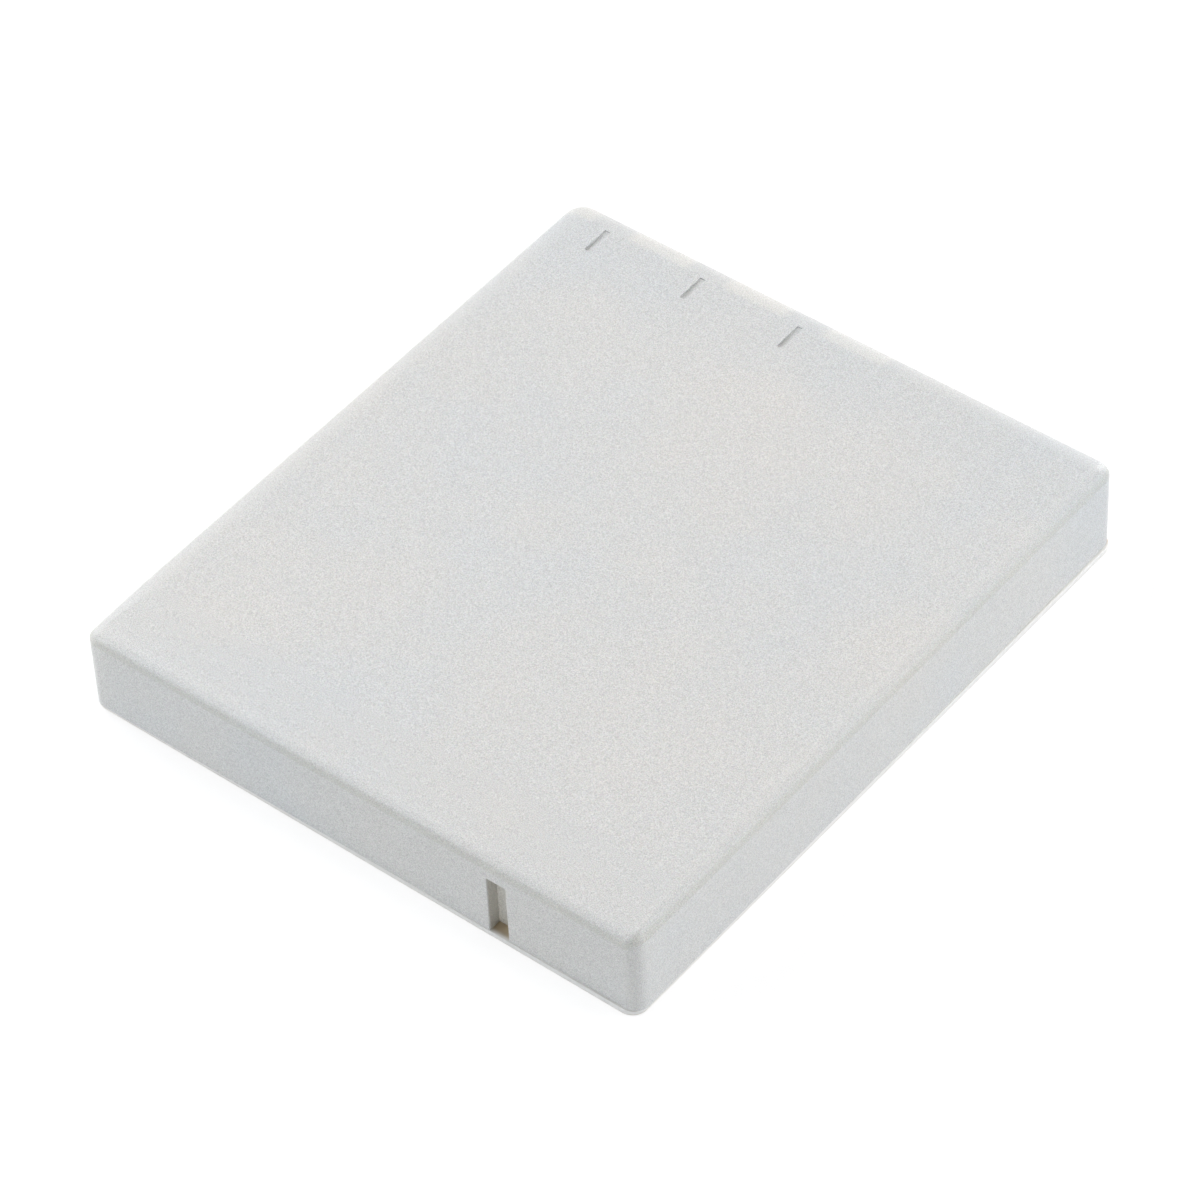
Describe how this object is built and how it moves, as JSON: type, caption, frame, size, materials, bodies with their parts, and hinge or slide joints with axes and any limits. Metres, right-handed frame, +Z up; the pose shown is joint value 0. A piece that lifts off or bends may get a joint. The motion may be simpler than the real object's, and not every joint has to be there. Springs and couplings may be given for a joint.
{
  "type": "camera battery",
  "caption": "Flat rechargeable battery pack for a compact camera, with contacts behind windows in one end, marking grooves above them and a key notch in the other end.",
  "frame": {"origin": "middle of the resting face, at the foot of the bottom sheet", "axes": "+X across the pack, +Y along its length from the latch end to the contact end, +Z up to the face with the grooves"},
  "size_m": [0.0358, 0.0406, 0.0058],
  "materials": {
    "casing_plastic": "fine moulded grain",
    "sheet_plastic": "smooth, matte",
    "frame_plastic": "plain moulded",
    "can_aluminium": "drawn, satin",
    "rivet_metal": "satin",
    "nickel": "rolled",
    "gold_plate": "plated",
    "gasket_plastic": "matte",
    "insulating_paper": "fibrous",
    "cutoff_shell": "glossy",
    "board_laminate": "lacquered",
    "chip_plastic": "moulded",
    "tinned_metal": "tinned",
    "dark_ceramic": "fired",
    "tan_ceramic": "fired",
    "tape_film": "matte",
    "foam": "open cells"
  },
  "bodies": {
    "root": {"upper_casing": "casing_plastic", "bottom_sheet": "sheet_plastic", "battery_cell": "can_aluminium", "cell_rivet": "rivet_metal", "rivet_gasket": "gasket_plastic", "lid_paper": "insulating_paper", "positive_strap": "nickel", "rivet_strap": "nickel", "thermal_cutoff": "cutoff_shell", "board_strap": "nickel", "contact_frame": "frame_plastic", "positive_contact": "gold_plate", "sense_contact": "gold_plate", "negative_contact": "gold_plate", "circuit_board": "board_laminate", "protection_chip": "chip_plastic", "switch_transistor": "chip_plastic", "chip_legs": "tinned_metal", "thermistor": "dark_ceramic", "resistors": "dark_ceramic", "capacitors": "tan_ceramic", "top_tape": "tape_film", "bottom_tape": "tape_film", "end_foam": "foam"}
  },
  "joints": []
}
